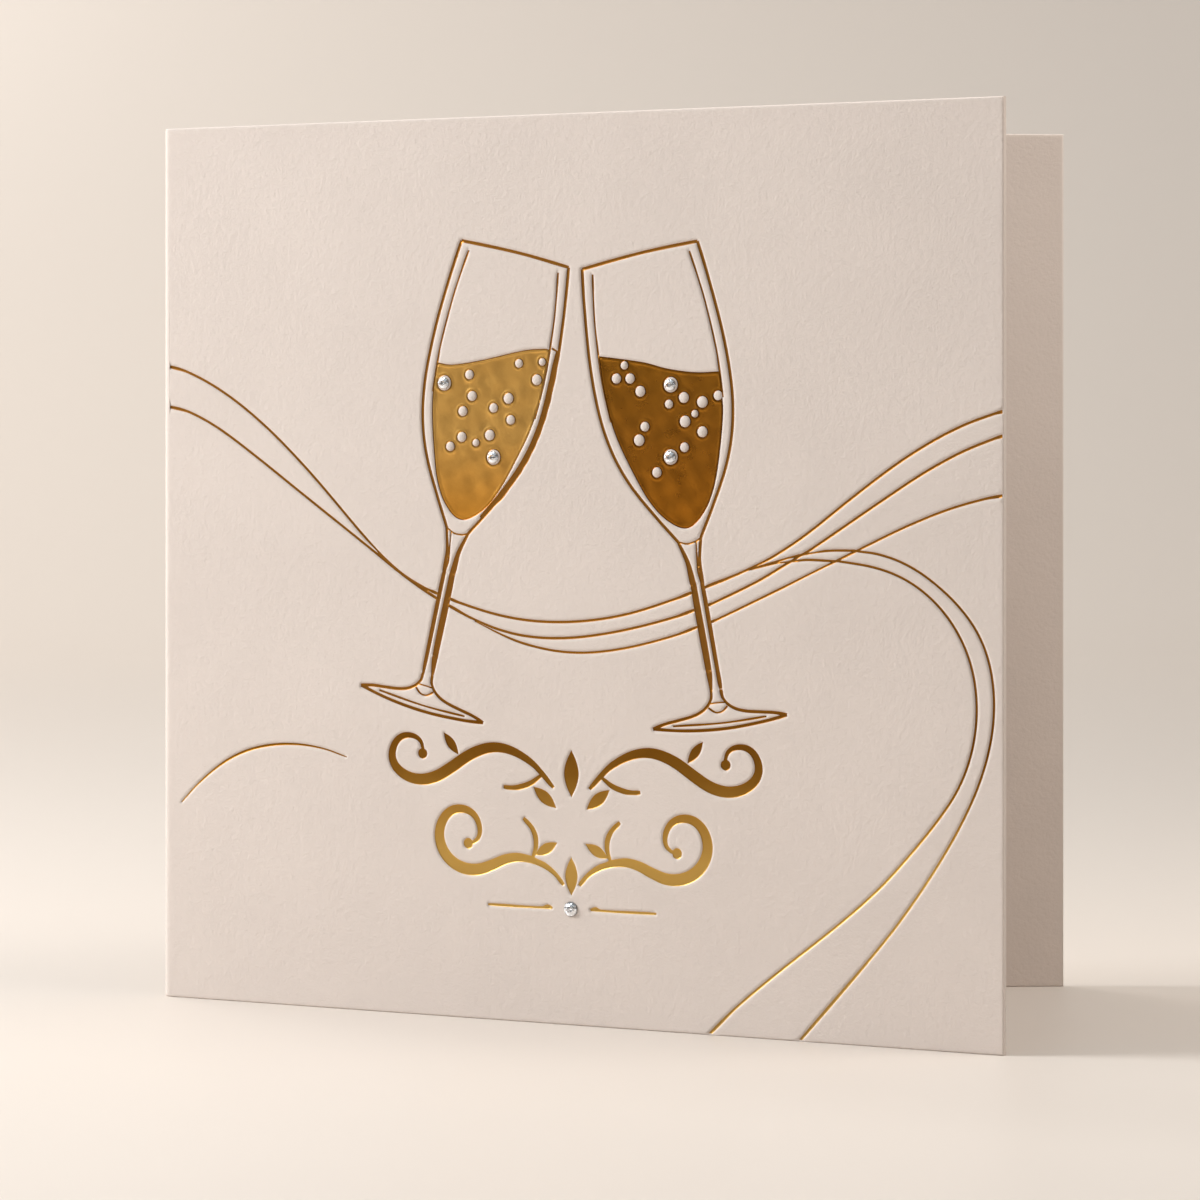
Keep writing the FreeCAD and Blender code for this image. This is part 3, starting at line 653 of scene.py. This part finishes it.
def noise(add, link, scale, detail, roughness):
    """Noise on the piece's own place, so that it stays on the surface in every view."""
    place = add("ShaderNodeTexCoord")
    made = add("ShaderNodeTexNoise", Scale=scale, Detail=detail, Roughness=roughness)
    link(place.outputs["Object"], made.inputs["Vector"])
    return made.outputs["Fac"]


def ramp(add, link, source, stops):
    """The colour for a value between 0 and 1, from stops of position and colour."""
    made = add("ShaderNodeValToRGB")
    marks = made.color_ramp.elements
    marks[0].position, marks[0].color = stops[0][0], (*stops[0][1], 1.0)
    marks[1].position, marks[1].color = stops[-1][0], (*stops[-1][1], 1.0)
    for position, colour in stops[1:-1]:
        marks.new(position).color = (*colour, 1.0)
    link(source, made.inputs["Fac"])
    return made.outputs["Color"]


STOCK_COLOURS = ((0.35, (0.69, 0.600, 0.538)), (0.65, (0.71, 0.618, 0.554)))
TOOTH_HEIGHT = 0.15 * MM

stock, shader, add, link = new_material("card_stock")
mottling = noise(add, link, scale=60.0, detail=3.0, roughness=0.5)
link(ramp(add, link, mottling, STOCK_COLOURS), shader.inputs["Base Color"])
shader.inputs["Roughness"].default_value = 0.82
shader.inputs["Specular IOR Level"].default_value = 0.3
tooth = add("ShaderNodeBump", Strength=0.7, Distance=TOOTH_HEIGHT)
link(noise(add, link, scale=1300.0, detail=5.0, roughness=0.65), tooth.inputs["Height"])
link(tooth.outputs["Normal"], shader.inputs["Normal"])
card.data.materials.append(stock)
print("card stock ready")

# %% [markdown]
# Hot-stamped foil is lacquered metal that follows the paper's tooth, so it is a metal of fairly low
# roughness with a weak bump. Its gold carries a painted reflection: bright low on the card and deep
# bronze higher up. A wine field's gold turns redder towards the foot of the bowl, and the right flute's
# is the same foil with painted shade. Painted shade also gathers beside outlines, so each bubble has a
# dark ring.
# %% Gold foil
PAINTED_EDGE_SHADE = (0.14, 0.08, 0.03, 1.0)  # painted shade beside outlines: what it keeps of each colour
MIX_SHARE, MIX_FIRST, MIX_SECOND, MIX_RESULT = 0, 6, 7, 2  # a colour mix's own sockets


def gold_foil(name, golds, rough, tooth_height, edge_share):
    """Foil with a gold for each height in millimetres, and painted shade beside outlines of strength
    edge_share.

    Its roughness wanders between the two values of rough, and its tooth is tooth_height metres high.
    """
    material, shader, add, link = new_material(name)
    shader.inputs["Metallic"].default_value = 1.0
    place = add("ShaderNodeTexCoord")
    axes = add("ShaderNodeSeparateXYZ")
    link(place.outputs["Object"], axes.inputs["Vector"])
    share = add("ShaderNodeMapRange", From_Max=PANEL_H * MM)
    link(axes.outputs["Z"], share.inputs["Value"])
    stops = [(height / PANEL_H, colour) for height, colour in golds]
    gold = ramp(add, link, share.outputs["Result"], stops)
    # Painted shade: near an outline the gold is multiplied towards a dark brown.
    near = add("ShaderNodeAttribute")
    near.attribute_name = "near_edge"
    deepen = add("ShaderNodeMapRange", To_Max=edge_share)
    link(near.outputs["Fac"], deepen.inputs["Value"])
    tone = add("ShaderNodeMix")
    tone.data_type, tone.blend_type = "RGBA", "MULTIPLY"
    tone.inputs[MIX_SECOND].default_value = PAINTED_EDGE_SHADE
    link(deepen.outputs["Result"], tone.inputs[MIX_SHARE])
    link(gold, tone.inputs[MIX_FIRST])
    link(tone.outputs[MIX_RESULT], shader.inputs["Base Color"])
    spread = add("ShaderNodeMapRange", To_Min=rough[0], To_Max=rough[1])
    link(noise(add, link, scale=400.0, detail=4.0, roughness=0.6), spread.inputs["Value"])
    link(spread.outputs["Result"], shader.inputs["Roughness"])
    bump = add("ShaderNodeBump", Strength=0.3, Distance=tooth_height)
    link(noise(add, link, scale=1500.0, detail=4.0, roughness=0.6), bump.inputs["Height"])
    link(bump.outputs["Normal"], shader.inputs["Normal"])
    return material


wine_low, wine_high = box_mm("foil_left_wine")
foot, surface = wine_low[2], wine_high[2]
middle = 0.5 * (foot + surface)
# Painted reflection: the line gold is bright low on the card and dark bronze higher up, as if mirroring a
# bright floor below and dark surroundings above.
LINE_GOLDS = (
    (0.0, (0.44, 0.26, 0.07)),
    (26.0, (0.60, 0.36, 0.09)),
    (33.0, (0.46, 0.24, 0.045)),
    (39.0, (0.28, 0.125, 0.016)),
    (46.0, (0.19, 0.07, 0.006)),
    (54.0, (0.29, 0.12, 0.02)),
    (PANEL_H, (0.29, 0.12, 0.02)),
)
WINE_GOLDS = ((foot, (0.84, 0.36, 0.045)), (middle, (0.84, 0.47, 0.12)), (surface, (0.82, 0.45, 0.11)))
# Painted shade: the right flute has the same foil as the left, with its gold painted darker.
SHADED_WINE_GOLDS = ((foot, (0.50, 0.18, 0.015)), (middle, (0.44, 0.17, 0.018)), (surface, (0.44, 0.18, 0.018)))

LINE_TOOTH, WINE_TOOTH = 0.04 * MM, 0.05 * MM
WINE_PAINTED_SHADE = 0.9  # how strong the painted shade is beside a wine field's outlines

line_gold = gold_foil("line_gold", LINE_GOLDS, (0.32, 0.44), LINE_TOOTH, 0.0)
wine_golds = {
    "foil_left_wine": gold_foil("wine_gold", WINE_GOLDS, (0.24, 0.38), WINE_TOOTH, WINE_PAINTED_SHADE),
    "foil_right_wine": gold_foil("deep_wine_gold", SHADED_WINE_GOLDS, (0.22, 0.36), WINE_TOOTH, WINE_PAINTED_SHADE),
}
for node, piece in foils.items():
    piece.data.materials.append(wine_golds.get(node, line_gold))
print("foil on", len(foils), "pieces")

# %% [markdown]
# The stones' glass is quite clear. The foil behind it is silver, a little dulled, so that it answers the
# lamps with soft glints and not with hard spots.
# %% Cut stone
glass, shader, add, link = new_material("clear_stone")
shader.inputs["Base Color"].default_value = (0.97, 0.98, 1.0, 1.0)
shader.inputs["Transmission Weight"].default_value = 1.0
shader.inputs["Roughness"].default_value = 0.02
shader.inputs["IOR"].default_value = 1.52
silver, shader, add, link = new_material("silvered_back")
shader.inputs["Base Color"].default_value = (0.86, 0.87, 0.88, 1.0)
shader.inputs["Metallic"].default_value = 1.0
shader.inputs["Roughness"].default_value = 0.12
for piece, back in zip(stones, mirrors):
    piece.data.materials.append(glass)
    back.data.materials.append(silver)
print("stone materials on", len(stones), "stones")

# %% [markdown]
# The card stands on a plain pale floor that sweeps up into the backdrop, so no line shows behind it.
# The sweep is one profile, flat, then a quarter round, then upright, carried sideways.
# %% Floor and backdrop
SWEEP_NEAR, SWEEP_FAR = -2.6, 1.1  # where the flat floor begins and ends, in metres
SWEEP_R, SWEEP_TOP, SWEEP_HALF = 0.7, 2.4, 3.0  # the bend's radius, the top, half the width
SWEEP_POINTS = 33
quarter = np.linspace(0.0, 0.5 * math.pi, SWEEP_POINTS)
run = np.concatenate([[SWEEP_NEAR], SWEEP_FAR + SWEEP_R * np.sin(quarter), [SWEEP_FAR + SWEEP_R]])
rise = np.concatenate([[0.0], SWEEP_R * (1.0 - np.cos(quarter)), [SWEEP_TOP]])
right = np.array([math.cos(AZIMUTH), math.sin(AZIMUTH)])
ahead = np.array([-math.sin(AZIMUTH), math.cos(AZIMUTH)])
sides = []
for side in (-SWEEP_HALF, SWEEP_HALF):
    ground = ahead * run[:, None] + right * side
    sides.append(np.column_stack([ground, rise]))
count = len(run)
here = np.arange(count - 1)
floor_faces = np.stack([here, here + count, here + count + 1, here + 1], 1)
floor_mesh = bpy.data.meshes.new("floor")
floor_mesh.from_pydata(np.concatenate(sides).tolist(), [], floor_faces.tolist())
floor_mesh.shade_smooth()
floor = bpy.data.objects.new("floor", floor_mesh)
bpy.context.scene.collection.objects.link(floor)
ground, shader, add, link = new_material("pale_floor")
shader.inputs["Base Color"].default_value = (0.69, 0.62, 0.555, 1.0)
shader.inputs["Roughness"].default_value = 0.42
floor_mesh.materials.append(ground)
print("floor ready")

# %% [markdown]
# A soft lamp stands at the left, so near the panel's own plane that it grazes the front and draws every
# groove, and close enough that the light fades across the card. A second one washes the backdrop, and a
# small one hangs over the open V, so that the back panel's inside doesn't sink into shade. The lamps
# themselves stay out of sight. The world gives the rest, plain and even: bright above and darker towards
# the horizon, like a studio with a pale ceiling, so that the gold has something dark to mirror.
# %% Light
SKY_COLOURS = ((0.20, (0.22, 0.18, 0.15)), (0.62, (0.92, 0.97, 1.0)))
SKY_STRENGTH = 0.60


def lamp(name, place, aim, side, watts, colour):
    """A square soft lamp at a place, turned towards a point."""
    data = bpy.data.lights.new(name, "AREA")
    data.shape, data.size, data.size_y = "RECTANGLE", side, side
    data.energy, data.color = watts, colour
    made = bpy.data.objects.new(name, data)
    made.location = place
    made.rotation_euler = (Vector(aim) - Vector(place)).to_track_quat("-Z", "Y").to_euler()
    made.visible_camera = False
    bpy.context.scene.collection.objects.link(made)


lamp("key", place=(-0.66, -0.40, 0.48), aim=(0.0, 0.0, 0.07), side=0.34, watts=8.4,
     colour=(0.94, 0.97, 1.0))
lamp("backdrop_wash", place=(-1.4, 0.55, 1.5), aim=(-1.3, 1.7, 0.5), side=0.8, watts=20.5,
     colour=(1.0, 0.965, 0.93))
lamp("inside_fill", place=(0.22, 0.0, 0.38), aim=(0.04, 0.03, 0.1), side=0.15, watts=0.7,
     colour=(1.0, 0.93, 0.86))
print("lamps", len(bpy.data.lights))

# %% [markdown]
# The world is a slope of two tones by the height of the ray, set on its own nodes as a piece's material
# is. A photographed studio could be wrapped round the scene instead, but the gold would then mirror
# things that aren't there.
# %% World
world = bpy.data.worlds.new("studio")
world.use_nodes = True
tree = world.node_tree
ray = tree.nodes.new("ShaderNodeTexCoord")
axes = tree.nodes.new("ShaderNodeSeparateXYZ")
tree.links.new(ray.outputs["Generated"], axes.inputs["Vector"])
sky = ramp(tree.nodes.new, tree.links.new, axes.outputs["Z"], SKY_COLOURS)
tree.links.new(sky, tree.nodes["Background"].inputs["Color"])
tree.nodes["Background"].inputs["Strength"].default_value = SKY_STRENGTH
bpy.context.scene.world = world
bpy.context.scene.view_settings.view_transform = "Standard"
print("world", world.name, "at strength", SKY_STRENGTH)
